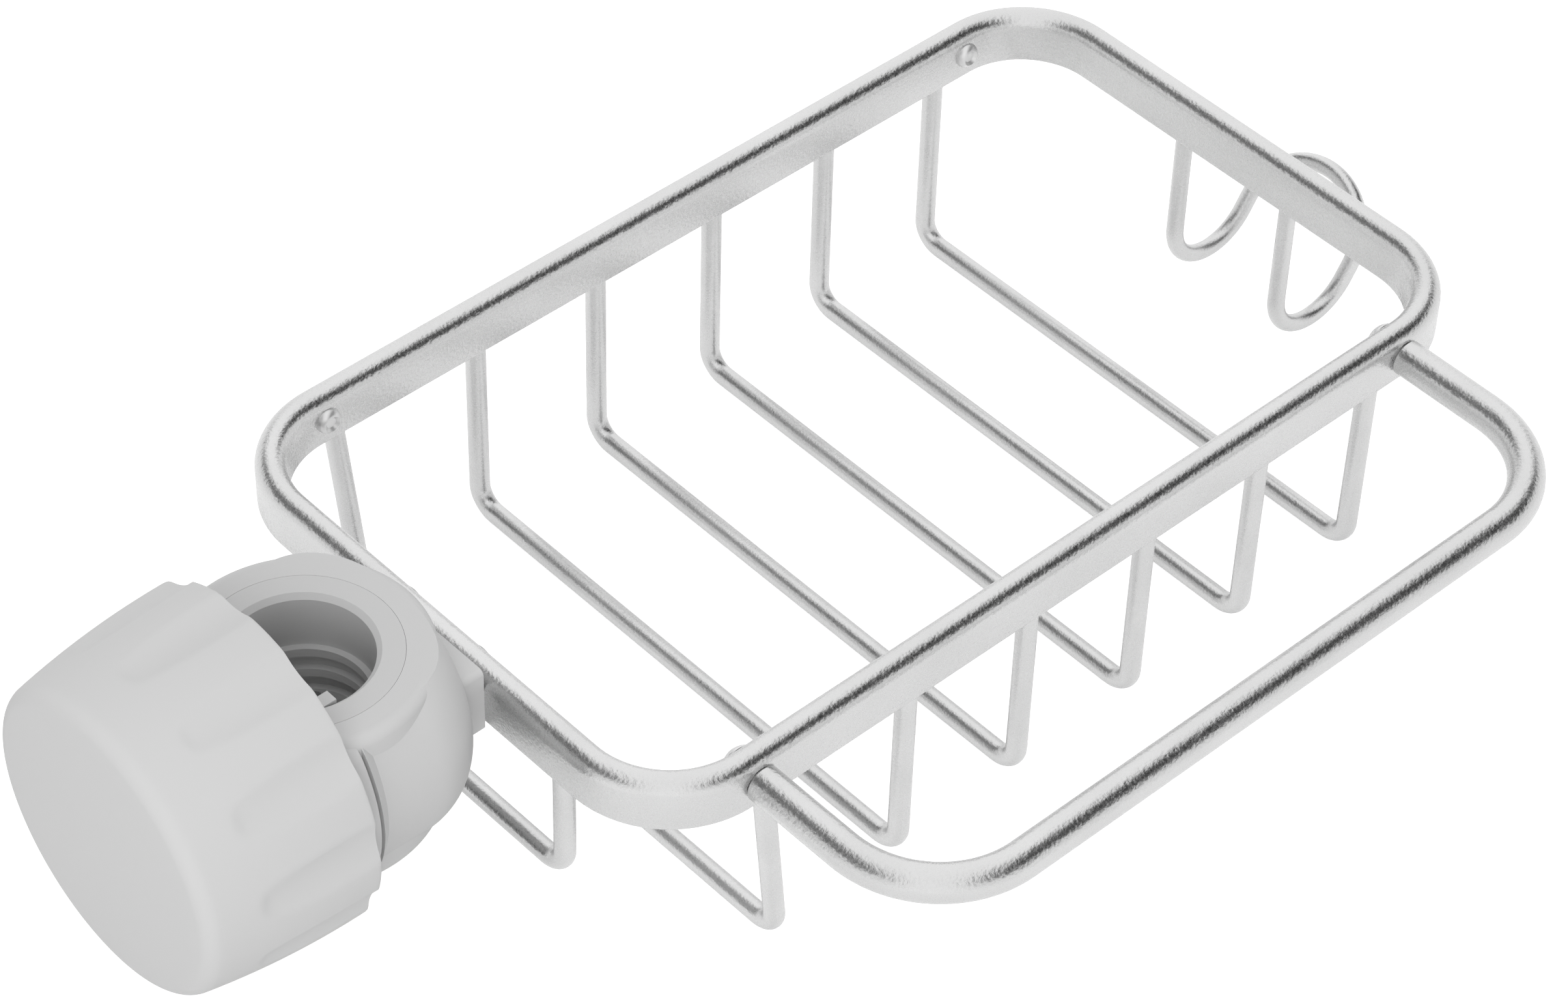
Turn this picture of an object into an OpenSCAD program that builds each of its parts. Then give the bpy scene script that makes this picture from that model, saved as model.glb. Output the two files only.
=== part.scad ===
// Sink drain rack that clamps to a tap's upright pipe.
// The origin is the middle of the clamp's bore, where the knob's axis crosses the pipe's axis.
// X runs along the rack away from the knob, Y away from the towel rail, and Z up the pipe.

/* [Rim] */
// Outside length of the rim
rim_length = 177; // [150:1:230]
// Outside width of the rim
rim_width = 105; // [90:1:130]
// Thickness of the rim's bar
rim_bar = 5; // [4:0.5:6]
// Height of the rim's bar
rim_height = 9; // [8:0.5:12]
// Outside radius of the rim's corners
rim_corner = 18.5; // [14:0.5:24]
// Height of the rim's middle above the clamp's middle
rim_lift = 0.5; // [-2:0.5:2]
// Width of the bevel along the rim's lower edges
rim_bevel = 0.4; // [0.2:0.1:0.6]

/* [Cross bars] */
// Wire diameter of the bars
bar_wire = 3.4; // [2.8:0.1:3.8]
// Depth of the bars' middle line below the rim
bar_drop = 35; // [25:1:45]
// Bend radius of the bars' middle line
bar_bend = 4; // [3:0.5:7]
// Distance from the rim's clamp end to the first bar
bar_inset_near = 25.9; // [24.5:0.1:30]
// Distance from the rim's hook end to the last bar
bar_inset_far = 24.85; // [24:0.05:30]
// How far the first bar leans along the rack from top to bottom
bar_lean = 3.5; // [0:0.5:4]
// Distance between the legs of the bar below the clamp end
end_span = 58; // [44:1:64]
// Depth of that bar's middle line below the rim
end_drop = 21.5; // [12:0.5:30]
// Depth of the wires' sockets in the rim
socket_depth = 2.2; // [1.5:0.1:2.4]

/* [Hook] */
// Wire diameter of the hook
hook_wire_d = 3; // [2.4:0.1:3.6]
// Distance between the hook's legs
hook_span = 23.8; // [16:0.2:30]
// Straight length of the legs below the rim
hook_leg = 19; // [12:0.5:26]
// Radius of the turn at the bottom of each leg
hook_turn = 9.5; // [6:0.5:12]
// Angle of that turn
hook_angle = 140; // [110:1:160]
// Straight length between the turn and the loop
hook_rise = 1.4; // [0.5:0.1:6]

/* [Towel rail] */
// Diameter of the towel rail
towel_rod = 6; // [5:0.5:7]
// Distance from the rim's face to the middle of the long run
towel_reach = 35.3; // [26:0.1:45]
// Distance from each end of the rim to the middle of an arm
towel_inset = 19.75; // [18.5:0.05:20]
// Bend radius of the rail's middle line
towel_bend = 18; // [12:0.5:22]
// Width of the bevel round the ends of the rail
towel_bevel = 0.4; // [0.2:0.1:0.8]

/* [Screws and rivets] */
// Diameter of the screws' and rivets' shanks
screw_d = 3; // [2.5:0.1:3.2]
// Diameter of their heads
head_d = 5.8; // [5:0.1:6.4]
// Height of their heads
head_h = 1.8; // [1.2:0.1:2.2]
// Height of the heads' upright edge
head_edge = 0.3; // [0.2:0.1:0.5]
// Height of the cone below a sunk head
cone_h = 1.5; // [1.2:0.1:1.6]
// Width of the arms of the cross in a sunk head
cross_w = 0.7; // [0.5:0.1:0.9]
// Length of the arms of that cross
cross_l = 3; // [2:0.2:3.4]
// Depth of that cross
cross_depth = 1.1; // [0.6:0.1:1.4]
// Length of a towel screw inside the rail
towel_screw_bite = 8; // [5:0.5:11]
// Length of a clamp screw inside the clamp
clamp_screw_bite = 7.5; // [5:0.5:8]
// Distance between the two clamp screws
clamp_screw_gap = 16; // [13:0.5:19]
// Diameter of a rivet's closed end
rivet_tail_d = 4.4; // [4:0.1:5]
// Height of a rivet's closed end
rivet_tail_h = 0.8; // [0.5:0.1:1]

/* [Clamp] */
// Diameter of the pipe that the clamp holds
pipe_d = 20; // [18:0.5:22]
// Height of the clamp along the pipe
clamp_h = 30; // [28:0.5:34]
// Wall of the liner
liner_wall = 4.2; // [3.6:0.1:5]
// Wall of the clamp's ring
ring_wall = 4.75; // [4:0.05:6]
// Radius of the ring's top and bottom edges
ring_edge = 1.7; // [1:0.1:2]
// How far the barrel stands out past the ring
barrel_proud = 2.7; // [2:0.1:3.2]
// Height of the collar round the barrel's end, beside the knob
collar_rise = 1.3; // [0.8:0.1:1.6]
// Distance from the bore's middle to the groove in the collar
collar_at = 4.4; // [4:0.1:5]
// Width of that groove
groove_w = 0.6; // [0.4:0.1:0.8]
// Depth of that groove
groove_depth = 1.2; // [0.8:0.1:1.6]
// Length of the collar's slope towards the rack
collar_slope = 1.7; // [1:0.1:2.5]
// Length of the collar from the groove to inside the knob
collar_length = 4.5; // [4:0.1:5]
// Radius of the long edges where the barrel is cut flat
barrel_edge = 5.5; // [3:0.5:6]
// Radius of the barrel's rounded end
barrel_round = 12; // [9:0.5:13]
// Distance from the barrel's end to the rim
barrel_short = 2.8; // [2:0.1:4]
// How far the mount block reaches past the ring
block_reach = 2; // [1.5:0.1:4]
// Width of the mount block
block_w = 28.4; // [26:0.2:32]
// Height of the mount block
block_h = 12.6; // [10:0.2:14]
// Radius of the mount block's long edges
block_edge = 1; // [0.5:0.1:1.6]
// Diameter of the neck that carries the thread
neck_d = 32; // [28:0.5:34]
// Thickness of the neck's threaded end wall
neck_wall = 8; // [5:0.5:10]

/* [Bore] */
// Width of the slot that the pad slides in
slot_w = 21.7; // [21:0.05:21.8]
// Width of the bevel at the bore's mouths
bore_bevel = 0.8; // [0.4:0.1:1.2]
// Depth of the grip ribs
rib_depth = 1; // [0.6:0.1:1.4]
// Height of a grip rib
rib_h = 1.6; // [1:0.1:2.2]
// Distance from one grip rib to the next
rib_pitch = 4.2; // [3.6:0.1:4.4]
// Number of grip ribs
rib_count = 3; // [1:2:3]

/* [Pad] */
// Thickness of the pad's back plate
pad_plate = 4.4; // [4:0.1:6]
// Thickness of the rubber faces at their thinnest
pad_rubber = 1.4; // [1:0.1:1.8]
// Depth of the pad's top below the ring's top
pad_sink = 0.2; // [0.1:0.1:0.5]
// Distance from the pad's top down to the rubber faces
rubber_sink = 1.8; // [0.5:0.1:2.5]
// Width of the seat for the rubber faces
pad_seat_w = 17; // [15:0.5:18]
// Distance that the pad draws back to let the pipe in
pad_open = 6; // [5:0.5:7]
// Distance that the pad can draw back in all
pad_travel = 9.05; // [8:0.05:10]
// Gap between the pad's back plate and the pipe
pad_hollow = 1.1; // [0.5:0.1:2]
// Distance from the pad's nose to the middle of the bore
pad_nose = 1.75; // [1.2:0.05:2]
// Depth of the socket in the pad's back
pad_socket = 3; // [2:0.1:3.2]

/* [Knob] */
// Wall of the knob at its open rim
knob_wall = 3.45; // [2.8:0.05:4]
// Length of the fluted body
knob_length = 29.5; // [27:0.1:30]
// Radius of the long curve of the knob's side
knob_side = 136; // [100:1:220]
// Radius of the shallow dome on the knob's face
knob_dome = 254; // [160:1:400]
// Radius of the knob's front edge
knob_edge = 3; // [2:0.1:4]
// Thickness of the knob's front wall
knob_front = 3; // [2.5:0.1:4]
// Gap between the front wall and the neck
knob_gap = 1.55; // [1.3:0.05:3]
// Number of flutes
flute_count = 12; // [8:1:12]
// Radius of a flute's hollow
flute_r = 10; // [8:0.5:12]
// Depth of a flute at the knob's open rim
flute_depth = 1; // [0.6:0.05:1.2]
// Distance from the knob's face to a flute's tip
flute_tip = 7; // [5:0.5:10]
// Diameter of the threaded stem
stem_d = 12; // [10:0.5:13]
// Diameter of the stem's tip
tip_d = 8; // [6:0.5:9]

/* [Fits] */
// Radial gap round a wire in its socket
socket_fit = 0.05; // [0.02:0.01:0.1]
// Radial gap round a screw in the rim
screw_fit = 0.1; // [0.05:0.01:0.2]
// Radial gap round a screw in its threads
thread_fit = 0.05; // [0.02:0.01:0.08]
// Radial gap round the liner
liner_fit = 0.05; // [0.02:0.01:0.1]
// Gap at each side of the pad
pad_fit = 0.2; // [0.1:0.05:0.4]
// Gap between the pad's rubber faces and the pipe when the pad is drawn back
pipe_fit = 0.1; // [0:0.05:0.3]
// Gap between the pad's two arms and the grip ribs between them
rib_fit = 0.3; // [0.2:0.05:0.6]
// Radial gap round the stem and its tip
stem_fit = 0.05; // [0.02:0.01:0.1]
// Gap between the knob's rim and the collar inside it
knob_fit = 0.35; // [0.3:0.01:0.6]
// Gap past the end of a wire, a screw or the stem's tip
end_fit = 0.2; // [0.1:0.05:0.3]

/* [Hidden] */
$fn = 96;
fine_fn = 720;

// Clamp, outwards from the pipe's axis
pipe_r = pipe_d / 2;
bore_r = pipe_r + rib_depth;
liner_r = bore_r + liner_wall;
ring_r = liner_r + liner_fit + ring_wall;
half_h = clamp_h / 2;
reach = ring_r + block_reach;
barrel_r = ring_r + barrel_proud;
barrel_end = reach - barrel_short;
barrel_mid = barrel_end - barrel_round;
collar_r = barrel_r + collar_rise;
collar_start = collar_at + groove_w;
collar_end = collar_start + collar_length;

// Along the knob's axis, from the pipe's axis out to the knob's face
pad_front = pipe_r + pad_hollow;
pad_rear = pad_front + pad_plate;
pad_face_r = pipe_r + pipe_fit;
pad_seat = pad_face_r + pad_rubber - pad_open;
pad_w = slot_w - 2 * pad_fit;
pad_h = clamp_h - 2 * pad_sink;
slot_end = pad_rear + pad_travel + 2 * end_fit;
neck_end = slot_end + neck_wall;
front_inside = neck_end + knob_gap;
face_at = front_inside + knob_front;
rim_at = face_at - knob_length;
stem_end = pad_rear + end_fit / 2;
ribs_h = (rib_count - 1) * rib_pitch + rib_h;
notch_h = ribs_h + 2 * rib_fit;

// Knob radii, set by the collar that the knob turns round
cavity_r = collar_r + knob_fit;
knob_r = cavity_r + knob_wall;
cavity_draft = 2;
stem_r = stem_d / 2;
tip_r = tip_d / 2;
flute_turn = 6.7;
flute_at = knob_r - flute_depth;

// Centres of the side curve, the face dome and the front edge's round
side_c = [knob_r - knob_side, rim_at];
dome_c = [0, face_at - knob_dome];
edge_c = meet(side_c, knob_side - knob_edge, dome_c, knob_dome - knob_edge);
side_touch = away(side_c, edge_c, knob_side);
dome_touch = away(dome_c, edge_c, knob_dome);

// The knob's radius where a flute runs out, and the slope of the flute's bottom line
flute_end = face_at - flute_tip;
flute_end_r = side_c[0] + sqrt(pow(knob_side, 2) - pow(flute_end - rim_at, 2));
flute_tilt = atan2(flute_at - flute_end_r, flute_end - rim_at);

// Rim
rim_x0 = reach;
rim_x1 = rim_x0 + rim_length;
rim_mid = (rim_x0 + rim_x1) / 2;
rim_y = rim_width / 2;
rim_low = rim_lift - rim_height / 2;
rim_high = rim_lift + rim_height / 2;
near_x = rim_x0 + rim_bar / 2;
far_x = rim_x1 - rim_bar / 2;
rail_y = rim_y - rim_bar / 2;

// Cross bars, one node each
bar_count = 6;
bar_first = rim_x0 + bar_inset_near;
bar_last = rim_x1 - bar_inset_far;
bar_pitch = (bar_last - bar_first) / (bar_count - 1);
bar_tilt = asin(bar_lean / bar_drop);

// Where the grip ribs end beside the slot, and how far they root in the bore's wall
rib_end = 1.5;
rib_root = 0.2;

// Hook: how far the straight rise enters the bends, and how much less its radius is
rise_entry = 0.2;
rise_step = 0.01;

// Towel rail, screws and rivets
towel_x = [rim_x0 + towel_inset, rim_x1 - towel_inset];
towel_y = -rim_y - towel_reach;
shank_r = screw_d / 2;
clear_r = shank_r + screw_fit;
tap_r = shank_r + thread_fit;
clamp_screw_y = [-clamp_screw_gap / 2, clamp_screw_gap / 2];

// The outer of the two points where two circles meet
function meet(a, ra, b, rb) =
    let (d = norm(b - a), along = (ra * ra - rb * rb + d * d) / (2 * d), u = (b - a) / d)
    let (off = sqrt(ra * ra - along * along))
    a + along * u + off * [-u[1], u[0]];

// Point at a distance from a centre, on the line through another point
function away(centre, through, distance) =
    centre + distance * (through - centre) / norm(through - centre);

// Direction of a vector, in degrees
function heading(v) = atan2(v[1], v[0]);

// Points along an arc from one point on it to another, in equal steps of angle
function arc(centre, r, a, b, steps) =
    let (first = heading(a - centre), last = heading(b - centre))
    [for (i = [0 : steps]) let (t = first + (last - first) * i / steps) centre + r * [cos(t), sin(t)]];

// Place of a cross bar's top, and its tilt: only the first one leans
function bar_x(k) = bar_first + k * bar_pitch - (k == 0 ? bar_lean : 0);
function bar_angle(k) = k == 0 ? -bar_tilt : 0;

// Flat-sided bar with a round top and bevelled lower edges, x across and y up
module rim_section() {
    half = rim_bar / 2;
    translate([0, rim_high - half])
        circle(r = half);
    polygon([
        [-half, rim_high - half], [-half, rim_low + rim_bevel], [-half + rim_bevel, rim_low],
        [half - rim_bevel, rim_low], [half, rim_low + rim_bevel], [half, rim_high - half]
    ]);
}

// One straight rail of the rim, centred, along X
module rim_rail(length) {
    rotate([90, 0, 90])
        linear_extrude(length, center = true)
            rim_section();
}

// The bent and closed bar of the rim
module rim_bar_loop() {
    for (side = [-1, 1])
        translate([rim_mid, side * rail_y, 0])
            rim_rail(rim_length - 2 * rim_corner);
    for (x = [near_x, far_x])
        translate([x, 0, 0])
            rotate([0, 0, 90])
                rim_rail(rim_width - 2 * rim_corner);
    for (end = [0, 1], side = [0, 1])
        translate([end ? rim_x1 - rim_corner : rim_x0 + rim_corner,
                   side ? rim_y - rim_corner : rim_corner - rim_y, 0])
            rotate([0, 0, end ? (side ? 0 : 270) : (side ? 90 : 180)])
                rotate_extrude(angle = 90)
                    translate([rim_corner - rim_bar / 2, 0])
                        rim_section();
}

// Children placed at the top of cross bar k, tilted with it
module at_bar(k) {
    translate([bar_x(k), 0, rim_low])
        rotate([0, bar_angle(k), 0])
            children();
}

// Two round holes up into the rim for a pair of legs
module leg_sockets(span, wire) {
    for (side = [-1, 1])
        translate([0, side * span / 2, -1])
            cylinder(r = wire / 2 + socket_fit, h = 1 + socket_depth + end_fit);
}

// U of wire in the YZ plane: two legs up into their sockets, two bends and a flat bottom
module u_wire(span, drop, bend, wire) {
    run = span / 2 - bend;
    for (side = [-1, 1])
        translate([0, side * span / 2, bend - drop])
            cylinder(d = wire, h = drop - bend + socket_depth);
    for (side = [0, 1])
        translate([0, side ? run : -run, bend - drop])
            rotate([90, 0, 90])
                rotate([0, 0, side ? 270 : 180])
                    rotate_extrude(angle = 90)
                        translate([bend, 0])
                            circle(d = wire);
    translate([0, -run, -drop])
        rotate([-90, 0, 0])
            cylinder(d = wire, h = 2 * run);
}

// Head with a short upright edge and a domed top, rising along +Z from its seat
module domed_head(d, h, edge) {
    dome = h - edge;
    ball = (pow(d / 2, 2) + pow(dome, 2)) / (2 * dome);
    rotate_extrude()
        union() {
            square([d / 2, edge]);
            translate([0, edge])
                intersection() {
                    square([d / 2, dome]);
                    translate([0, dome - ball])
                        circle(r = ball, $fn = fine_fn);
                }
        }
}

// Screw with its seat at z = 0, its head along +Z and its shank along -Z
module screw(length) {
    domed_head(head_d, head_h, head_edge);
    translate([0, 0, -length])
        cylinder(r = shank_r, h = length);
}

// Cone below a sunk head, its wide end at z = 0 and facing +Z
module head_cone(gap) {
    translate([0, 0, -cone_h])
        cylinder(r1 = shank_r + gap, r2 = head_d / 2 + gap, h = cone_h);
}

// Screw sunk flush with z = 0, with a cross in its head
module sunk_screw(length) {
    difference() {
        union() {
            head_cone(0);
            translate([0, 0, -length])
                cylinder(r = shank_r, h = length - cone_h / 2);
        }
        for (turn = [0, 90])
            rotate([0, 0, turn])
                translate([-cross_l / 2, -cross_w / 2, -cross_depth])
                    cube([cross_l, cross_w, cross_depth + 1]);
    }
}

// Hole through a rail for a screw, with a flat face for the head to seat on
module head_hole() {
    translate([0, 0, -rim_bar - 1])
        cylinder(r = clear_r, h = rim_bar + 2);
    cylinder(r = head_d / 2 + screw_fit, h = head_h);
}

// Children laid across the front or rear rail, +Z pointing into the basket
module across_front(x) {
    translate([x, rim_bar - rim_y, rim_lift])
        rotate([-90, 0, 0])
            children();
}
module across_rear(x) {
    translate([x, rim_y - rim_bar, rim_lift])
        rotate([90, 0, 0])
            children();
}

// Children laid across the rail at the clamp end, +Z pointing into the basket
module across_near(y) {
    translate([rim_x0 + rim_bar, y, rim_lift])
        rotate([0, 90, 0])
            children();
}

// Children turned so that +Z runs out along the knob's axis, away from the rack
module along_knob() {
    rotate([0, -90, 0])
        children();
}

module rim_frame() {
    color([0.83, 0.83, 0.83])
        difference() {
            rim_bar_loop();
            for (k = [0 : bar_count - 1])
                at_bar(k)
                    leg_sockets(2 * rail_y, bar_wire);
            translate([near_x, 0, rim_low])
                leg_sockets(end_span, bar_wire);
            translate([far_x, 0, rim_low])
                leg_sockets(hook_span, hook_wire_d);
            for (x = towel_x) {
                across_front(x)
                    head_hole();
                across_rear(x)
                    head_hole();
            }
            for (y = clamp_screw_y)
                across_near(y) {
                    translate([0, 0, -rim_bar - 1])
                        cylinder(r = clear_r, h = rim_bar + 2);
                    head_cone(screw_fit);
                }
        }
}

module cross_wire(k) {
    color([0.80, 0.80, 0.80])
        at_bar(k)
            u_wire(2 * rail_y, bar_drop, bar_bend, bar_wire);
}

module end_wire() {
    color([0.80, 0.80, 0.80])
        translate([near_x, 0, rim_low])
            u_wire(end_span, end_drop, bar_bend, bar_wire);
}

// Children placed from the middle of the hook's turns, with X along the straight rise
module along_rise() {
    translate([hook_turn, 0, 0])
        rotate([0, 90 - hook_angle, 0])
            children();
}

// One wire: down from the rim, round and up at each side, and a half circle that joins both.
// The straight rise is a hair thinner, so that its ends lie just inside the two bends.
module hook_wire() {
    color([0.80, 0.80, 0.80])
        translate([far_x, 0, rim_low - hook_leg]) {
            for (side = [-1, 1])
                translate([0, side * hook_span / 2, 0]) {
                    cylinder(d = hook_wire_d, h = hook_leg + socket_depth);
                    translate([hook_turn, 0, 0])
                        rotate([90, 0, 0])
                            rotate([0, 0, 180])
                                rotate_extrude(angle = hook_angle)
                                    translate([hook_turn, 0])
                                        circle(d = hook_wire_d);
                    along_rise()
                        translate([-rise_entry, 0, -hook_turn])
                            rotate([0, 90, 0])
                                cylinder(r = hook_wire_d / 2 - rise_step, h = hook_rise + 2 * rise_entry);
                }
            along_rise()
                translate([hook_rise, 0, -hook_turn])
                    rotate([0, 0, 270])
                        rotate_extrude(angle = 180)
                            translate([hook_span / 2, 0])
                                circle(d = hook_wire_d);
        }
}

// Round rod: two arms that butt against the rim, two bends and a long run
module towel_rail() {
    arm = towel_reach - towel_bend;
    run = (towel_x[1] - towel_x[0]) / 2 - towel_bend;
    color([0.83, 0.83, 0.83])
        difference() {
            union() {
                for (x = towel_x)
                    translate([x, -rim_y, rim_lift])
                        rotate([90, 0, 0]) {
                            cylinder(d1 = towel_rod - 2 * towel_bevel, d2 = towel_rod, h = towel_bevel);
                            translate([0, 0, towel_bevel])
                                cylinder(d = towel_rod, h = arm - towel_bevel);
                        }
                for (side = [0, 1])
                    translate([side ? rim_mid + run : rim_mid - run, towel_y + towel_bend, rim_lift])
                        rotate([0, 0, side ? 270 : 180])
                            rotate_extrude(angle = 90)
                                translate([towel_bend, 0])
                                    circle(d = towel_rod);
                translate([rim_mid - run, towel_y, rim_lift])
                    rotate([0, 90, 0])
                        cylinder(d = towel_rod, h = 2 * run);
            }
            for (x = towel_x)
                across_front(x)
                    translate([0, 0, -rim_bar - towel_screw_bite - end_fit])
                        cylinder(r = tap_r, h = towel_screw_bite + end_fit + 1);
        }
}

module towel_screw(side) {
    color([0.78, 0.78, 0.78])
        across_front(towel_x[side])
            screw(rim_bar + towel_screw_bite);
}

// Rivet through the rear rail, domed at both ends
module rear_rivet(side) {
    color([0.78, 0.78, 0.78])
        across_rear(towel_x[side]) {
            screw(rim_bar);
            translate([0, 0, -rim_bar])
                mirror([0, 0, 1])
                    domed_head(rivet_tail_d, rivet_tail_h, head_edge);
        }
}

module clamp_screw(side) {
    color([0.78, 0.78, 0.78])
        across_near(clamp_screw_y[side])
            sunk_screw(rim_bar + clamp_screw_bite);
}

// Ring round the pipe, with rounded top and bottom edges
module clamp_ring() {
    flat_h = clamp_h - 2 * ring_edge;
    rotate_extrude()
        union() {
            translate([0, -half_h])
                square([ring_r - ring_edge, clamp_h]);
            translate([0, -flat_h / 2])
                square([ring_r, flat_h]);
            for (side = [-1, 1])
                translate([ring_r - ring_edge, side * flat_h / 2])
                    circle(r = ring_edge);
        }
}

// Barrel round the knob's axis: rounded at the rack's end, with a grooved collar at the other
module clamp_barrel() {
    along_knob()
        rotate_extrude()
            union() {
                polygon([
                    [0, slot_end / 2], [barrel_r, slot_end / 2], [barrel_r, collar_end],
                    [collar_r, collar_end], [collar_r, collar_start],
                    [collar_r - groove_depth, collar_start], [collar_r - groove_depth, collar_at],
                    [collar_r, collar_at], [barrel_r, collar_at - collar_slope],
                    [barrel_r, -barrel_mid], [barrel_r - barrel_round, -barrel_end], [0, -barrel_end]
                ]);
                translate([barrel_r - barrel_round, -barrel_mid])
                    intersection() {
                        circle(r = barrel_round);
                        translate([0, -barrel_round])
                            square(barrel_round);
                    }
            }
}

// Cross-section that trims the barrel flat above and below, y across and z up, with round long edges
module barrel_section() {
    edge_y = sqrt(pow(collar_r - barrel_edge, 2) - pow(half_h - barrel_edge, 2));
    touch_z = collar_r * (half_h - barrel_edge) / (collar_r - barrel_edge);
    square([2 * edge_y, clamp_h], center = true);
    square([3 * collar_r, 2 * touch_z], center = true);
    for (y = [-1, 1], z = [-1, 1])
        translate([y * edge_y, z * (half_h - barrel_edge)])
            circle(r = barrel_edge);
}

// Block that sits flat against the rim
module mount_block() {
    translate([0, 0, rim_lift])
        rotate([90, 0, 90])
            linear_extrude(reach)
                rounded_box(block_w, block_h, block_edge);
}

// Rectangle with round corners, centred
module rounded_box(w, h, r) {
    square([w, h - 2 * r], center = true);
    square([w - 2 * r, h], center = true);
    for (x = [-1, 1], y = [-1, 1])
        translate([x * (w / 2 - r), y * (h / 2 - r)])
            circle(r = r);
}

module clamp_body() {
    color([0.80, 0.80, 0.80])
        difference() {
            union() {
                clamp_ring();
                intersection() {
                    union() {
                        clamp_barrel();
                        along_knob()
                            cylinder(d = neck_d, h = neck_end);
                    }
                    rotate([90, 0, 90])
                        linear_extrude(2 * neck_end + 4, center = true)
                            barrel_section();
                }
                mount_block();
            }
            cylinder(r = liner_r + liner_fit, h = clamp_h + 2, center = true);
            translate([-slot_end, -slot_w / 2, -half_h - 1])
                cube([slot_end, slot_w, clamp_h + 2]);
            along_knob()
                cylinder(r = stem_r + stem_fit, h = neck_end + 1);
            for (y = clamp_screw_y)
                across_near(y)
                    translate([0, 0, -rim_bar - clamp_screw_bite - end_fit])
                        cylinder(r = tap_r, h = clamp_screw_bite + end_fit + 1);
        }
}

// One grip rib on the rack's side of the bore
module grip_rib() {
    linear_extrude(rib_h)
        intersection() {
            difference() {
                circle(r = bore_r + rib_root);
                circle(r = pipe_r);
            }
            translate([-rib_end, -2 * bore_r])
                square(4 * bore_r);
        }
}

// Liner pressed into the ring: the bore, the pad's slot and the grip ribs
module pipe_liner() {
    color([0.79, 0.79, 0.79])
        union() {
            difference() {
                cylinder(r = liner_r, h = clamp_h, center = true);
                cylinder(r = bore_r, h = clamp_h + 2, center = true);
                for (side = [0, 1])
                    mirror([0, 0, side])
                        translate([0, 0, half_h - bore_bevel])
                            cylinder(r1 = bore_r, r2 = bore_r + bore_bevel + 1, h = bore_bevel + 1);
                translate([-liner_r - 1, -slot_w / 2, -half_h - 1])
                    cube([liner_r + 1, slot_w, clamp_h + 2]);
            }
            for (k = [0 : rib_count - 1])
                translate([0, 0, k * rib_pitch - ribs_h / 2])
                    grip_rib();
        }
}

// Pad that the stem pushes against the pipe, with an arm above and an arm below the grip ribs
module pressure_pad() {
    color([0.72, 0.72, 0.72])
        difference() {
            translate([-pad_rear, -pad_w / 2, -pad_h / 2])
                cube([pad_rear - pad_nose, pad_w, pad_h]);
            translate([-pad_seat, -pad_seat_w / 2, -pad_h])
                cube([pad_rear, pad_seat_w, 2 * pad_h]);
            translate([-pad_front, -pad_w, -notch_h / 2])
                cube([pad_front, 2 * pad_w, notch_h]);
            along_knob()
                translate([0, 0, pad_rear - pad_socket])
                    cylinder(r = tip_r + stem_fit, h = pad_socket + 1);
        }
}

// Rubber faces bonded into the seats of the pad's two arms
module pad_facings() {
    facing_h = pad_h / 2 - rubber_sink - notch_h / 2;
    color([0.35, 0.35, 0.35])
        for (side = [0, 1])
            mirror([0, 0, side])
                translate([0, 0, notch_h / 2])
                    linear_extrude(facing_h)
                        difference() {
                            translate([-pad_seat, -pad_seat_w / 2])
                                square([pad_seat - pad_nose, pad_seat_w]);
                            translate([pad_open, 0])
                                circle(r = pad_face_r);
                        }
}

// Half outline of the knob's fluted body: side curve, rounded front edge and shallow dome
module knob_outline() {
    polygon(concat(
        [[0, rim_at]],
        arc(side_c, knob_side, [knob_r, rim_at], side_touch, 5),
        arc(edge_c, knob_edge, side_touch, dome_touch, 8),
        arc(dome_c, knob_dome, dome_touch, [0, face_at], 4)
    ));
}

// Knob with its long flutes, its hollow inside and its stem
module knob() {
    color([0.82, 0.82, 0.82])
        along_knob() {
            difference() {
                rotate_extrude()
                    knob_outline();
                translate([0, 0, rim_at])
                    cylinder(r1 = cavity_r, r2 = cavity_r - cavity_draft, h = front_inside - rim_at);
                for (k = [0 : flute_count - 1])
                    rotate([0, 0, flute_turn + k * 360 / flute_count])
                        translate([flute_at + flute_r, 0, rim_at])
                            rotate([0, -flute_tilt, 0])
                                translate([0, 0, -1])
                                    cylinder(r = flute_r, h = knob_length + 2);
            }
            translate([0, 0, stem_end])
                cylinder(r = stem_r, h = front_inside - stem_end + 1);
            translate([0, 0, pad_rear - pad_socket + end_fit])
                cylinder(r = tip_r, h = pad_socket);
        }
}

rim_frame();
cross_wire(0);  // cross_wire_1
cross_wire(1);  // cross_wire_2
cross_wire(2);  // cross_wire_3
cross_wire(3);  // cross_wire_4
cross_wire(4);  // cross_wire_5
cross_wire(5);  // cross_wire_6
end_wire();
hook_wire();
towel_rail();
towel_screw(0);  // towel_screw_left
towel_screw(1);  // towel_screw_right
rear_rivet(0);  // rear_rivet_left
rear_rivet(1);  // rear_rivet_right
clamp_body();
clamp_screw(0);  // clamp_screw_front
clamp_screw(1);  // clamp_screw_rear
pipe_liner();
pressure_pad();
pad_facings();
knob();
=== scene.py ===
import math

import bmesh
import bpy
from mathutils import Matrix, Vector


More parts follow.
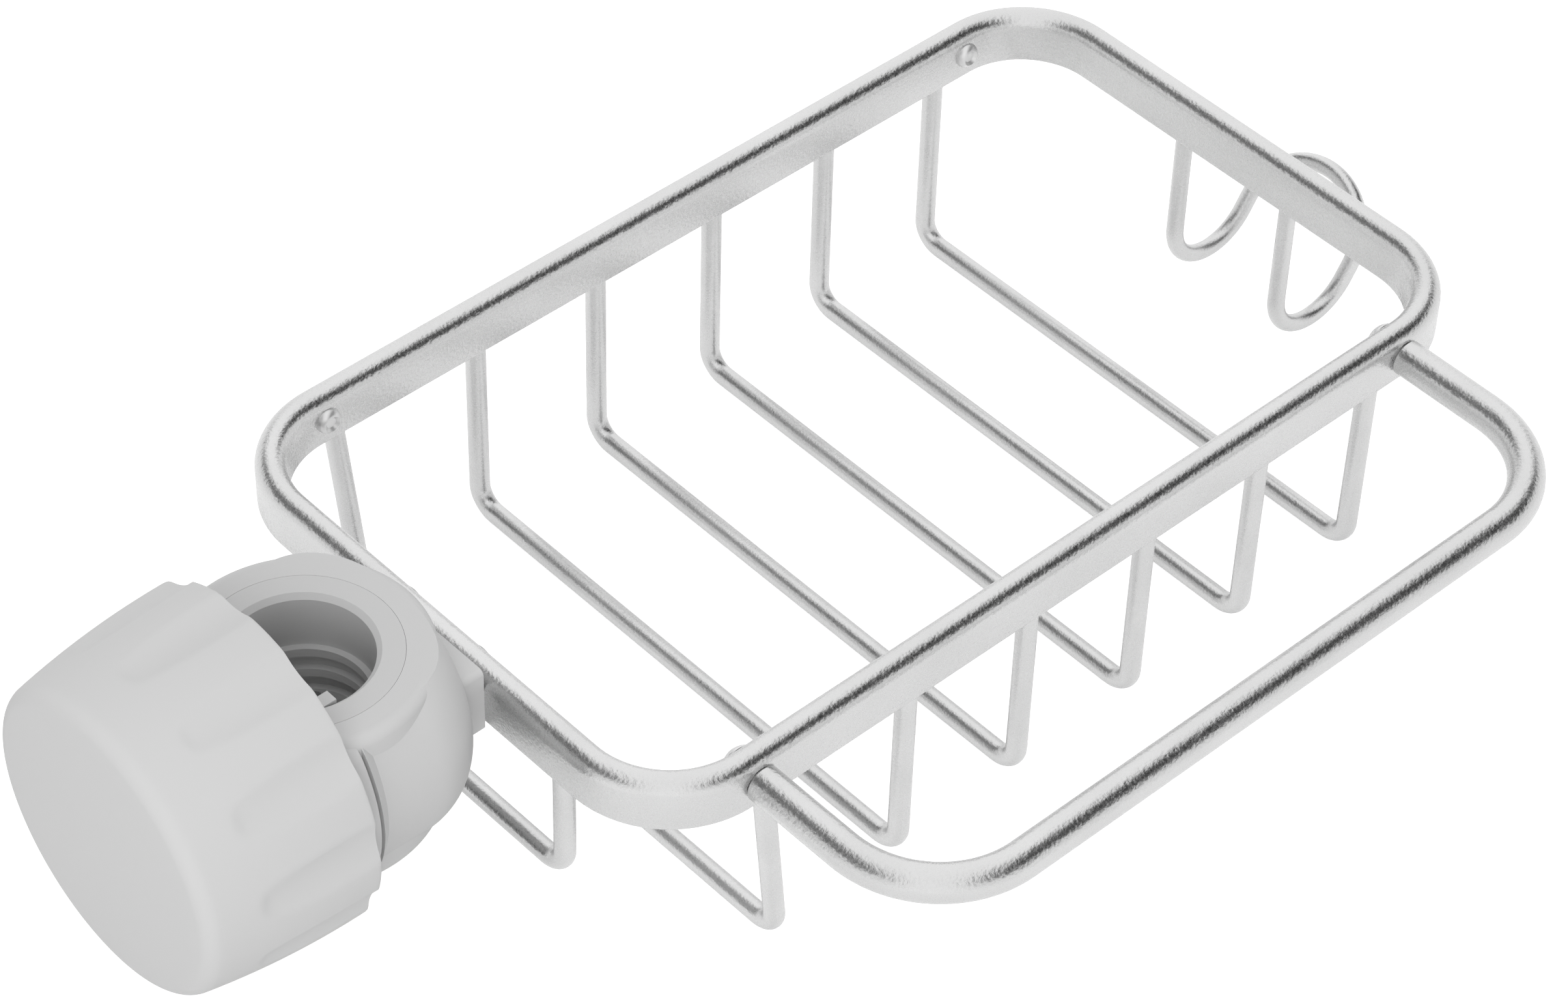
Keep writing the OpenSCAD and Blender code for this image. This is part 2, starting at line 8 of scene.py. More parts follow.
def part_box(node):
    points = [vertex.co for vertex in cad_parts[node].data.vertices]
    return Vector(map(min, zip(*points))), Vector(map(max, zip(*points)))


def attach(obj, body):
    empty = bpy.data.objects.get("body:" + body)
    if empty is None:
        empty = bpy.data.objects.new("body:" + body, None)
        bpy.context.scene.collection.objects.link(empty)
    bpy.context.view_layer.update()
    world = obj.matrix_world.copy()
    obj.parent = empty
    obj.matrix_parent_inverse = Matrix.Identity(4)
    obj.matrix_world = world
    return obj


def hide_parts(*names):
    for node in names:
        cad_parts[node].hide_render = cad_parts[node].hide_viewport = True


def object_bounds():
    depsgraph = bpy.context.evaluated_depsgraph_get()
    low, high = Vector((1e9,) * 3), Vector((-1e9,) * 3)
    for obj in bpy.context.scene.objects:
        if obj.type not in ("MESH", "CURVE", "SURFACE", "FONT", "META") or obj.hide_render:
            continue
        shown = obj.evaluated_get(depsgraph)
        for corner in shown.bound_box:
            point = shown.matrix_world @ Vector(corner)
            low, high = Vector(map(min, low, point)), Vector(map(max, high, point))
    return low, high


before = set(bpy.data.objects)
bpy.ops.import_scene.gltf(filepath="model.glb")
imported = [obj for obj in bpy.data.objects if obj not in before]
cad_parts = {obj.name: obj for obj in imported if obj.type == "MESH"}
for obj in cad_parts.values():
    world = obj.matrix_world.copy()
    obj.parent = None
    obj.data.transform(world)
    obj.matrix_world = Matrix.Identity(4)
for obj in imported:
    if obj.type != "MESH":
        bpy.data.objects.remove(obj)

bl_info = {
    "name": "Sink drain rack",
    "version": (1, 0, 0),
    "blender": (4, 5, 0),
    "location": "3D View > Sidebar > Drain rack",
    "description": "Builds the finished pieces of a drain rack that clamps to a tap's pipe",
    "category": "Add Mesh",
}

# Corners of the solids, in metres. The pipe's axis is Z, and the knob's axis is X.
CAD_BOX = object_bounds()
RIM_LOW, RIM_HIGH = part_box("rim_frame")
RAIL_LOW, RAIL_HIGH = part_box("towel_rail")
HOOK_LOW, HOOK_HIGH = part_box("hook_wire")
KNOB_LOW, KNOB_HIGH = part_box("knob")
RACK = "rack"

# Corners closer than this are one corner.
MERGE = 1e-6
# Share of half the rim's thickness that its round top takes, so that its corners don't meet.
CROWN_SHARE = 0.9999

# Most of a noise pattern lies between these values.
NOISE_LOW, NOISE_HIGH = 0.3, 0.7
PIT_SMOOTHNESS = 0.6
PLASTIC_SHADES = (0.985, 1.015)
PLASTIC_ROUGHNESS_SPREAD = 0.05

WHITE = (1.0, 1.0, 1.0, 1.0)
LAMP_TARGET = Vector((0.10, -0.01, 0.0))
OVERHEAD_PLACE, OVERHEAD_SIZE = (0.45, 0.35, 0.9), 0.5
FILL_PLACE, FILL_SIZE = (-0.9, -0.9, 0.7), 1.0

# Soft edges of the studio's dark flags and of the bright slot between them. Heights and
# distances to the side are those of a direction of length 1.
FLAG_BOTTOM = (0.30, 0.48)
FLAG_TOP = (0.985, 0.93)
FLAG_SIDE = (0.40, 0.60)
SLOT_SIDE = (0.44, 0.28)


def length(name, description, default):
    """A size in metres that a user can change."""
    return bpy.props.FloatProperty(
        name=name, description=description, default=default, min=0.0, precision=5, unit="LENGTH"
    )


def angle(name, description, degrees):
    """An angle that a user can change, given in degrees."""
    return bpy.props.FloatProperty(
        name=name, description=description, default=math.radians(degrees), subtype="ANGLE"
    )


def level(name, description, default):
    """A plain number that a user can change."""
    return bpy.props.FloatProperty(name=name, description=description, default=default, min=0.0)


def steps(name, description, default):
    """A count of steps that a user can change."""
    return bpy.props.IntProperty(name=name, description=description, default=default, min=1)


def colour(name, description, default):
    """A colour that a user can change, given as red, green and blue."""
    return bpy.props.FloatVectorProperty(
        name=name, description=description, default=default, size=3, min=0.0, max=1.0,
        subtype="COLOR",
    )


class RimSizes(bpy.types.PropertyGroup):
    """Sizes of the bar that makes the rim."""

    thickness: length("Thickness", "Thickness of the rim's bar", 0.005)
    corner: length("Corner", "Outside radius of the rim's corners", 0.0185)
    bevel: length("Bevel", "Rounding of the bar's lower edges", 0.0004)
    bevel_steps: steps("Bevel steps", "Faces across each lower edge", 3)
    crown_steps: steps("Crown steps", "Faces across half of the bar's round top", 9)
    corner_steps: steps("Corner steps", "Faces round each corner", 26)


class WireSizes(bpy.types.PropertyGroup):
    """Sizes of the bent cross bars."""

    bend: length("Bend", "Bend radius of a bar's middle line", 0.004)
    lean: angle("Lean", "Lean of the first bar", 5.74)
    sides: steps("Sides", "Faces round a wire", 24)
    bend_steps: steps("Bend steps", "Faces along a bend", 12)


class HookSizes(bpy.types.PropertyGroup):
    """Sizes of the hook."""

    wire: length("Wire", "Wire diameter of the hook", 0.003)
    leg: length("Leg", "Straight length of the legs below the rim", 0.021)
    turn: length("Turn", "Radius of the turn below each leg", 0.0095)
    turn_angle: angle("Turn angle", "Angle of that turn", 147)
    rise: length("Rise", "Straight length before the loop", 0.0025)
    sides: steps("Sides", "Faces round the wire", 24)
    turn_steps: steps("Turn steps", "Faces along each turn, and along half of the loop", 36)


class RailSizes(bpy.types.PropertyGroup):
    """Sizes of the towel rail."""

    rod: length("Rod", "Diameter of the rail", 0.006)
    bend: length("Bend", "Bend radius of the rail's middle line", 0.018)
    bevel: length("Bevel", "Bevel round the rail's ends", 0.0004)
    sides: steps("Sides", "Faces round the rail", 40)
    bend_steps: steps("Bend steps", "Faces along a bend", 28)


class RivetSizes(bpy.types.PropertyGroup):
    """Sizes of the rivets in the rear rail."""

    head: length("Head", "Diameter of the head", 0.0044)
    height: length("Height", "Height of the head", 0.0013)
    shank: length("Shank", "Diameter of the shank", 0.003)
    gap: length("Gap", "Distance of the head from the rail's face", 0.00002)
    dish: length("Dish", "Diameter of the dish in the head", 0.0024)
    dish_depth: length("Dish depth", "Depth of the dish", 0.0005)
    dish_floor: level("Dish floor", "Share of the dish's radius that is flat", 0.75)
    dish_edge: level("Dish edge", "Share of the dish's depth at its edge", 0.4)
    crown: level("Crown", "How fast the head's curve falls off", 1.2)
    crown_steps: steps("Crown steps", "Faces across the head's curve", 8)
    tail: length("Tail", "Thickness of the closed end outside", 0.0006)
    tail_bevel: length("Tail bevel", "Height of the closed end's slope", 0.0003)
    tail_foot: level("Tail foot", "Width of the closed end, as a share of the head's", 0.8)
    tail_top: level("Tail top", "Width of its flat top, as a share of the head's", 0.6)
    sides: steps("Sides", "Faces round a rivet", 40)


class KnobSizes(bpy.types.PropertyGroup):
    """Sizes of the knob."""

    length: length("Length", "Length of the fluted body", 0.0295)
    wall: length("Wall", "Wall of the fluted body at its open rim", 0.00345)
    draft: length("Draft", "How much narrower the hollow is at its inner end", 0.002)
    side: length("Side curve", "Radius of the long curve of the side", 0.136)
    dome: length("Face dome", "Radius of the shallow dome on the face", 0.254)
    edge: length("Edge", "Radius of the front edge", 0.003)
    front: length("Front", "Thickness of the front wall", 0.003)
    stem: length("Stem", "Radius of the stem", 0.006)
    tip: length("Tip", "Radius of the stem's tip", 0.004)
    tip_length: length("Tip length", "Length of the stem's tip", 0.0029)
    bevel: length("Bevel", "Bevel of the open rim and of the stem", 0.00025)
    hollow_bevel: length("Hollow bevel", "Bevel at the inner end of the hollow", 0.0005)
    tip_bevel: length("Tip bevel", "Bevel of the stem's tip", 0.0004)
    side_steps: steps("Side steps", "Faces along the side", 40)
    edge_steps: steps("Edge steps", "Faces across the front edge", 12)
    dome_steps: steps("Dome steps", "Faces from the face's middle to its edge", 16)
    flutes: steps("Flutes", "Number of flutes", 12)
    flute_radius: length("Flute radius", "Radius of a flute's hollow", 0.010)
    flute_depth: length("Flute depth", "Depth of a flute at the open rim", 0.001)
    flute_tip: length("Flute tip", "Distance from the face to where a flute rises", 0.0115)
    flute_end_depth: length("Flute end depth", "Depth of a flute at that place", 0.0005)
    flute_round: length("Flute round", "Radius of the rise at a flute's tip", 0.004)
    flute_turn: angle("Flute turn", "Angle of the first flute", 6.7)
    flute_blend: length("Flute blend", "Softness of a flute's edges", 0.0002)
    flute_reach: length("Flute reach", "Corners nearer the inner hollow than this stay", 0.0006)
    steps_per_flute: steps("Steps per flute", "Faces round the knob for each flute", 24)


class Finishes(bpy.types.PropertyGroup):
    """Colours and grain of the finishes."""

    aluminium: colour("Aluminium", "Colour of the blasted aluminium", (0.64, 0.64, 0.64))
    steel: colour("Steel", "Colour of the screws and rivets", (0.62, 0.62, 0.62))
    plastic: colour("Plastic", "Colour of the clamp's plastic", (0.58, 0.58, 0.585))
    rubber: colour("Rubber", "Colour of the pad's rubber", (0.05, 0.05, 0.05))
    grain: length("Grain", "Size of the grain in the aluminium", 0.0004)
    cloud: length("Cloud", "Size of the faint clouds in the plastic", 0.011)
    texture: length("Texture", "Size of the plastic's matt texture", 0.00022)
    relief: length("Relief", "Depth of the plastic's texture", 0.000012)
    skin: length("Skin", "Size of the unevenness in the rubber", 0.0004)
    skin_relief: length("Skin relief", "Depth of the rubber's unevenness", 0.00003)


class StageSettings(bpy.types.PropertyGroup):
    """Camera, lamps, studio and floor."""

    azimuth: angle("Azimuth", "Direction of the camera round the rack", -43.60)
    elevation: angle("Elevation", "Height of the camera above the horizon", 44.37)
    roll: angle("Roll", "Turn of the camera about its own axis", 1.771)
    lens: level("Lens", "Focal length in millimetres on a 36 mm sensor", 104.2)
    place: bpy.props.FloatVectorProperty(
        name="Place", description="Place of the camera", default=(-0.25830, -0.37050, 0.48505),
        size=3, precision=5, subtype="TRANSLATION",
    )
    overhead: level("Overhead", "Power of the lamp overhead", 0.8)
    front_fill: level("Front fill", "Power of the lamp in front", 6.0)
    flag: level("Flag", "Brightness of the studio's dark flags", 0.02)
    left_flag: level("Left flag", "Weight of the left flag beside the right one", 0.85)
    slot: level("Slot", "Extra brightness of the studio between the flags", 0.18)
    floor_reach: length("Floor reach", "Half the width of the floor", 3.0)
    floor_gap: length("Floor gap", "Distance of the floor below the rack", 0.0005)
    floor_grey: level("Floor grey", "Lightness of the floor", 0.72)
    floor_roughness: level("Floor roughness", "Roughness of the floor", 0.9)
    floor_glow: level("Floor glow", "Glow that shows the floor white to the camera", 0.65)
    floor_mirrored: level("Mirrored floor", "Glow that shows the floor in the metal", 0.41)


def edges_between(verts):
    """The edges that join the given corners."""
    chosen = set(verts)
    found = (e for v in verts for e in v.link_edges if e.other_vert(v) in chosen)
    return list(dict.fromkeys(found))


class Sweep:
    """A section that is carried along straight stretches and bends."""

    def __init__(self, bm, edges):
        self.bm = bm
        self.edges = list(edges)

    def corners(self):
        """The corners of the section where it stands."""
        return list(dict.fromkeys(v for e in self.edges for v in e.verts))

    def go(self, step):
        """Carries the section straight on."""
        made = bmesh.ops.extrude_edge_only(self.bm, edges=self.edges)["geom"]
        verts = [g for g in made if isinstance(g, bmesh.types.BMVert)]
        bmesh.ops.translate(self.bm, verts=verts, vec=step)
        self.edges = edges_between(verts)

    def turn(self, centre, axis, turned, count):
        """Carries the section round a bend."""
        made = bmesh.ops.spin(
            self.bm, geom=self.corners() + self.edges, cent=centre, axis=axis, angle=turned,
            steps=count, use_merge=False, use_duplicate=False,
        )["geom_last"]
        self.edges = [g for g in made if isinstance(g, bmesh.types.BMEdge)]


def round_section(bm, radius, sides, place):
    """The edges of a circle, which place turns and moves from the XY plane."""
    made = bmesh.ops.create_circle(
        bm, cap_ends=False, segments=sides, radius=radius, matrix=place
    )
    return edges_between(made["verts"])


def round_corners(bm, verts, radius, count):
    """Rounds the corners of a flat face."""
    bmesh.ops.bevel(
        bm, geom=verts, offset=radius, offset_type="OFFSET", segments=count, profile=0.5,
        affect="VERTICES", clamp_overlap=True, material=-1,
    )


def turn_outline(bm, points, centre, axis, count):
    """Turns an outline once round an axis through the given centre."""
    verts = [bm.verts.new(point) for point in points]
    edges = [bm.edges.new(pair) for pair in zip(verts, verts[1:], strict=False)]
    bmesh.ops.spin(
        bm, geom=verts + edges, cent=centre, axis=axis, angle=2 * math.pi, steps=count,
        use_merge=True, use_duplicate=False,
    )


def close_ends(bm):
    """Fills the open ends of a swept piece."""
    bmesh.ops.remove_doubles(bm, verts=bm.verts, dist=MERGE)
    bmesh.ops.holes_fill(bm, edges=[e for e in bm.edges if e.is_boundary], sides=0)


def sort_by_place(bm):
    """Sorts corners, edges and faces by place, so that their order is the same each run."""
    for index, vert in enumerate(sorted(bm.verts, key=lambda vert: vert.co[:])):
        vert.index = index
    bm.verts.sort()
    for elements in (bm.edges, bm.faces):
        in_order = sorted(elements, key=lambda element: sorted(v.index for v in element.verts))
        for index, element in enumerate(in_order):
            element.index = index
        elements.sort()


def settle(bm, name, material, body, sharp=35.0):
    """Turns a finished bmesh into a piece that rides on a body."""
    bmesh.ops.remove_doubles(bm, verts=bm.verts, dist=MERGE)
    bmesh.ops.recalc_face_normals(bm, faces=bm.faces)
    sort_by_place(bm)
    for face in bm.faces:
        face.smooth = True
    mesh = bpy.data.meshes.new(name)
    bm.to_mesh(mesh)
    bm.free()
    mesh.set_sharp_from_angle(angle=math.radians(sharp))
    mesh.materials.append(material)
    piece = bpy.data.objects.new(name, mesh)
    bpy.context.scene.collection.objects.link(piece)
    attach(piece, body)
    return piece


class Wiring:
    """A node tree, with short ways to add nodes and to join them."""

    def __init__(self, tree):
        self.tree = tree

    def new(self, kind, **settings):
        """Adds a node with the given settings."""
        node = self.tree.nodes.new("ShaderNode" + kind)
        for key, value in settings.items():
            setattr(node, key, value)
        return node

    def put(self, socket, value):
        """Joins another node's output to a socket, or writes a value in it."""
        if isinstance(value, bpy.types.NodeSocket):
            self.tree.links.new(value, socket)
        else:
            socket.default_value = value

    def fill(self, node, **values):
        """Fills a node's sockets by name, with _ for a space."""
        for key, value in values.items():
            self.put(node.inputs[key.replace("_", " ")], value)

    def math(self, operation, *values):
        """Adds a Math node and fills its sockets in order."""
        node = self.new("Math", operation=operation)
        for socket, value in zip(node.inputs, values, strict=False):
            self.put(socket, value)
        return node.outputs["Value"]


class Shader(Wiring):
    """A material whose patterns follow the piece's own coordinates."""

    def __init__(self, name):
        self.material = bpy.data.materials.new(name)
        self.material.use_nodes = True
        super().__init__(self.material.node_tree)
        self.surface = self.tree.nodes["Principled BSDF"]
        self.place = self.new("TexCoord").outputs["Object"]

    def set(self, **values):
        """Fills the surface's own sockets."""
        self.fill(self.surface, **values)

    def noise(self, size, detail=2.0, roughness=0.5):
        """Cloudy pattern with features of about the given size."""
        node = self.new("TexNoise")
        self.fill(
            node, Scale=1.0 / size, Detail=detail, Roughness=roughness, Vector=self.place
        )
        return node.outputs["Fac"]

    def pits(self, size):
        """Round dimples of about the given size."""
        node = self.new("TexVoronoi", feature="SMOOTH_F1")
        self.fill(node, Scale=1.0 / size, Smoothness=PIT_SMOOTHNESS, Vector=self.place)
        return node.outputs["Distance"]

    def span(self, value, low, high):
        """A noise pattern brought into low to high."""
        node = self.new("MapRange")
        self.fill(
            node, From_Min=NOISE_LOW, From_Max=NOISE_HIGH, To_Min=low, To_Max=high, Value=value
        )
        return node.outputs["Result"]

    def tint(self, pattern, grey, shades):
        """Colour that follows a pattern from a darker to a lighter shade of a grey."""
        dark, light = ((*(min(1.0, c * shade) for c in grey), 1.0) for shade in shades)
        node = self.new("Mix", data_type="RGBA")
        self.fill(node, A=dark, B=light, Factor=self.span(pattern, 0.0, 1.0))
        self.set(Base_Color=node.outputs["Result"])

    def rough(self, pattern, low, high):
        """Roughness that follows a pattern."""
        self.set(Roughness=self.span(pattern, low, high))

    def raise_by(self, height, depth):
        """Fine relief of the given depth."""
        node = self.new("Bump")
        self.fill(node, Strength=1.0, Distance=depth, Height=height)
        self.set(Normal=node.outputs["Normal"])


def blasted(name, cloud, grain, shades, roughness, pits, pit_share, depth):
    """Bead-blasted and anodised: satin with fine dimples, its sizes counted in grains."""
    finishes = bpy.context.scene.rack_finishes
    shader = Shader(name)
    shader.set(Metallic=1.0, Specular_IOR_Level=0.5)
    clouds = shader.noise(finishes.grain * cloud, 3.0)
    grains = shader.noise(finishes.grain * grain, 3.0, 0.6)
    shader.tint(clouds, finishes.aluminium, shades)
    shader.rough(grains, *roughness)
    dimples = shader.pits(finishes.grain * pits)
    relief = shader.math("MULTIPLY_ADD", dimples, pit_share, grains)
    shader.raise_by(relief, finishes.grain * depth)
    return shader.material


def polished(name, shades, roughness, depth):
    """Pressed steel heads, polished and nearly smooth."""
    finishes = bpy.context.scene.rack_finishes
    shader = Shader(name)
    shader.set(Metallic=1.0)
    grains = shader.noise(finishes.grain, 4.0, 0.6)
    shader.tint(grains, finishes.steel, shades)
    shader.rough(grains, *roughness)
    shader.raise_by(grains, finishes.grain * depth)
    return shader.material


def moulded(name, lightness, roughness):
    """Moulded plastic with an even, fine matt texture and faint clouding."""
    finishes = bpy.context.scene.rack_finishes
    shader = Shader(name)
    shader.set(Specular_IOR_Level=0.4, IOR=1.5)
    clouds = shader.noise(finishes.cloud, 3.0)
    texture = shader.noise(finishes.texture, 2.0, 0.6)
    shader.tint(clouds, finishes.plastic, [lightness * shade for shade in PLASTIC_SHADES])
    spread = PLASTIC_ROUGHNESS_SPREAD
    shader.rough(texture, roughness - spread, roughness + spread)
    shader.raise_by(texture, finishes.relief)
    return shader.material


def rubbery(name, shades, roughness):
    """Soft black rubber with a dull, slightly uneven skin."""
    finishes = bpy.context.scene.rack_finishes
    shader = Shader(name)
    shader.set(Specular_IOR_Level=0.3)
    skin = shader.noise(finishes.skin, 3.0)
    shader.tint(skin, finishes.rubber, shades)
    shader.rough(skin, *roughness)
    shader.raise_by(skin, finishes.skin_relief)
    return shader.material


FINISHES = {
    "blasted_aluminium": (blasted, {
        "cloud": 40, "grain": 1.0, "shades": (0.96, 1.03), "roughness": (0.20, 0.32),
        "pits": 1.6, "pit_share": 0.7, "depth": 0.12,
    }),
    "blasted_wire": (blasted, {
        "cloud": 25, "grain": 0.8, "shades": (0.97, 1.04), "roughness": (0.24, 0.36),
        "pits": 1.0, "pit_share": 0.6, "depth": 0.09,
    }),
    "bright_steel": (polished, {
        "shades": (0.93, 1.06), "roughness": (0.05, 0.11), "depth": 0.01,
    }),
    "body_plastic": (moulded, {"lightness": 1.0, "roughness": 0.5}),
    "liner_plastic": (moulded, {"lightness": 0.985, "roughness": 0.46}),
    "knob_plastic": (moulded, {"lightness": 1.03, "roughness": 0.5}),
    "soft_rubber": (rubbery, {"shades": (0.85, 1.2), "roughness": (0.62, 0.78)}),
}


def finish(name):
    """A finish, made when it is first asked for and then shared."""
    make, values = FINISHES[name]
    return bpy.data.materials.get(name) or make(name, **values)


def dress(node, name):
    """Gives a CAD node a finish and leaves its mesh alone."""
    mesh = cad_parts[node].data
    mesh.materials.clear()
    mesh.materials.append(finish(name))


class RACK_OT_rim(bpy.types.Operator):
    """Bends the rim's bar round and closes it"""

    bl_idname = "rack.rim"
    bl_label = "Rim"

    def execute(self, context):
        sizes = context.scene.rack_rim
        bm = bmesh.new()
        self.section(bm, sizes)
        run_x = RIM_HIGH.x - RIM_LOW.x - 2 * sizes.corner
        run_y = RIM_HIGH.y - RIM_LOW.y - 2 * sizes.corner
        left, right = RIM_LOW.x + sizes.corner, RIM_HIGH.x - sizes.corner
        front, rear = RIM_LOW.y + sizes.corner, RIM_HIGH.y - sizes.corner
        corners = [(left, rear), (right, rear), (right, front), (left, front)]
        legs = [(run_x, 0, 0), (0, -run_y, 0), (-run_x, 0, 0), (0, run_y / 2, 0)]
        sweep = Sweep(bm, bm.edges)
        sweep.go((0, run_y / 2, 0))
        for (x, y), leg in zip(corners, legs, strict=True):
            sweep.turn((x, y, 0), (0, 0, -1), math.pi / 2, sizes.corner_steps)
            sweep.go(leg)
        piece = settle(bm, "rim_bar", finish("blasted_aluminium"), RACK)
        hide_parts("rim_frame")
        return {"FINISHED"}

    @staticmethod
    def section(bm, sizes):
        """The bar's outline: flat sides, a round top and beveled lower edges."""
        half = sizes.thickness / 2
        height = RIM_HIGH.z - RIM_LOW.z
        verts = bmesh.ops.create_grid(bm, x_segments=1, y_segments=1, size=0.5)["verts"]
        bmesh.ops.scale(bm, vec=(sizes.thickness, height, 1.0), verts=verts)
        top = [v for v in bm.verts if v.co.y > 0]
        round_corners(bm, top, half * CROWN_SHARE, sizes.crown_steps)
        bottom = [v for v in bm.verts if v.co.y < -height / 2 + MERGE]
        round_corners(bm, bottom, sizes.bevel, sizes.bevel_steps)
        bmesh.ops.delete(bm, geom=list(bm.faces), context="FACES_ONLY")
        middle = Matrix.Translation((RIM_LOW.x + half, 0, (RIM_LOW.z + RIM_HIGH.z) / 2))
        upright = Matrix.Rotation(math.pi / 2, 4, "X")
        bmesh.ops.transform(bm, matrix=middle @ upright, verts=list(bm.verts))


class RACK_OT_wires(bpy.types.Operator):
    """Bends the six cross bars and the bar below the clamp end"""

    bl_idname = "rack.wires"
    bl_label = "Cross bars"

    def execute(self, context):
        sizes = context.scene.rack_wires
        upright_low, upright_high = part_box("cross_wire_2")
        radius = (upright_high.x - upright_low.x) / 2
        pieces = {f"cross_wire_{number}": f"cross_bar_{number}" for number in range(1, 7)}
        pieces["end_wire"] = "end_bar"
        for node, name in pieces.items():
            low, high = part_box(node)
            bm = bmesh.new()
            if node == "cross_wire_1":
                self.leaning(bm, low, upright_low, upright_high, radius, sizes)
            else:
                self.bend(bm, low, high, radius, sizes)
            piece = settle(bm, name, finish("blasted_wire"), RACK)
            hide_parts(node)
        return {"FINISHED"}

    @staticmethod
    def bend(bm, low, high, radius, sizes):
        """A U of wire that fills the given box: leg, bend, floor, bend and leg."""
        x = (low.x + high.x) / 2
        y0, y1 = low.y + radius, high.y - radius
        floor = low.z + radius
        place = Matrix.Translation((x, y0, high.z))
        sweep = Sweep(bm, round_section(bm, radius, sizes.sides, place))
        leg = high.z - floor - sizes.bend
        z = floor + sizes.bend
        sweep.go((0, 0, -leg))
        sweep.turn((x, y0 + sizes.bend, z), (1, 0, 0), math.pi / 2, sizes.bend_steps)
        sweep.go((0, y1 - y0 - 2 * sizes.bend, 0))
        sweep.turn((x, y1 - sizes.bend, z), (1, 0, 0), math.pi / 2, sizes.bend_steps)
        sweep.go((0, 0, leg))
        close_ends(bm)

    def leaning(self, bm, low, upright_low, upright_high, radius, sizes):
        """The first bar: an upright one, leaned about the place where it meets the rim."""
        depth = upright_high.z - RIM_LOW.z
        x = low.x + radius * math.cos(sizes.lean) + depth * math.sin(sizes.lean)
        low = Vector((x - radius, upright_low.y, upright_low.z))
        high = Vector((x + radius, upright_high.y, upright_high.z))
        self.bend(bm, low, high, radius, sizes)
        lean = Matrix.Rotation(-sizes.lean, 3, "Y")
        bmesh.ops.rotate(bm, cent=(x, 0, RIM_LOW.z), matrix=lean, verts=list(bm.verts))


class RACK_OT_hook(bpy.types.Operator):
    """Bends the hook: two legs, two turns and a round loop"""

    bl_idname = "rack.hook"
    bl_label = "Hook"

    def execute(self, context):
        sizes = context.scene.rack_hook
        radius = sizes.wire / 2
        turned = sizes.turn_angle
        x = HOOK_LOW.x + radius
        leg_end = RIM_LOW.z - sizes.leg
        leg = HOOK_HIGH.z - leg_end
        turn_middle = Vector((x + sizes.turn, 0, leg_end))
        turn_end = turn_middle - sizes.turn * Vector((math.cos(turned), 0, math.sin(turned)))
        climb = turned - math.pi / 2
        along = Vector((math.cos(climb), 0, math.sin(climb)))
        across = along.cross(Vector((0, 1, 0)))
        bm = bmesh.new()
        place = Matrix.Translation((x, HOOK_LOW.y + radius, HOOK_HIGH.z))
        sweep = Sweep(bm, round_section(bm, radius, sizes.sides, place))
        sweep.go((0, 0, -leg))
        sweep.turn(turn_middle, (0, -1, 0), turned, sizes.turn_steps)
        sweep.go(along * sizes.rise)
        sweep.turn(turn_end + along * sizes.rise, across, math.pi, 2 * sizes.turn_steps)
        sweep.go(-along * sizes.rise)
        sweep.turn(turn_middle, (0, 1, 0), turned, sizes.turn_steps)
        sweep.go((0, 0, leg))
        close_ends(bm)
        piece = settle(bm, "brush_hook", finish("blasted_wire"), RACK)
        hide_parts("hook_wire")
        return {"FINISHED"}


class RACK_OT_towel_rail(bpy.types.Operator):
    """Bends the towel rail and bevels its ends"""

    bl_idname = "rack.towel_rail"
    bl_label = "Towel rail"

    def execute(self, context):
        sizes = context.scene.rack_rail
        radius, bend, bevel = sizes.rod / 2, sizes.bend, sizes.bevel
        x0, x1 = RAIL_LOW.x + radius, RAIL_HIGH.x - radius
        y = RAIL_LOW.y + radius
        z = (RAIL_LOW.z + RAIL_HIGH.z) / 2
        start = Vector((x0, RAIL_HIGH.y, z))
        arm = RAIL_HIGH.y - bevel - y - bend
        bm = bmesh.new()
        place = Matrix.Translation(start) @ Matrix.Rotation(math.pi / 2, 4, "X")
        sweep = Sweep(bm, round_section(bm, radius - bevel, sizes.sides, place))
        self.taper(bm, sweep, start, radius - bevel, radius, -bevel)
        sweep.go((0, -arm, 0))
        sweep.turn((x0 + bend, y + bend, z), (0, 0, 1), math.pi / 2, sizes.bend_steps)
        sweep.go((x1 - x0 - 2 * bend, 0, 0))
        sweep.turn((x1 - bend, y + bend, z), (0, 0, 1), math.pi / 2, sizes.bend_steps)
        sweep.go((0, arm, 0))
        self.taper(bm, sweep, Vector((x1, 0, z)), radius, radius - bevel, bevel)
        close_ends(bm)
        piece = settle(bm, "towel_bar", finish("blasted_aluminium"), RACK)
        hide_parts("towel_rail")
        return {"FINISHED"}

    @staticmethod
    def taper(bm, sweep, middle, start, end, step):
        """Carries the section on along Y, while its radius goes from start to end."""
        sweep.go((0, step, 0))
        ratio = end / start
        space = Matrix.Translation(-middle)
        bmesh.ops.scale(bm, vec=(ratio, 1.0, ratio), space=space, verts=sweep.corners())


class RACK_OT_clamp(bpy.types.Operator):
    """Finishes the clamp's body, liner and pad, and every screw"""

    bl_idname = "rack.clamp"
    bl_label = "Clamp"

    def execute(self, context):
        dress("clamp_body", "body_plastic")
        dress("pipe_liner", "liner_plastic")
        dress("pressure_pad", "liner_plastic")
        dress("pad_facings", "soft_rubber")
        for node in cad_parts:
            if "screw" in node:
                dress(node, "bright_steel")
        return {"FINISHED"}


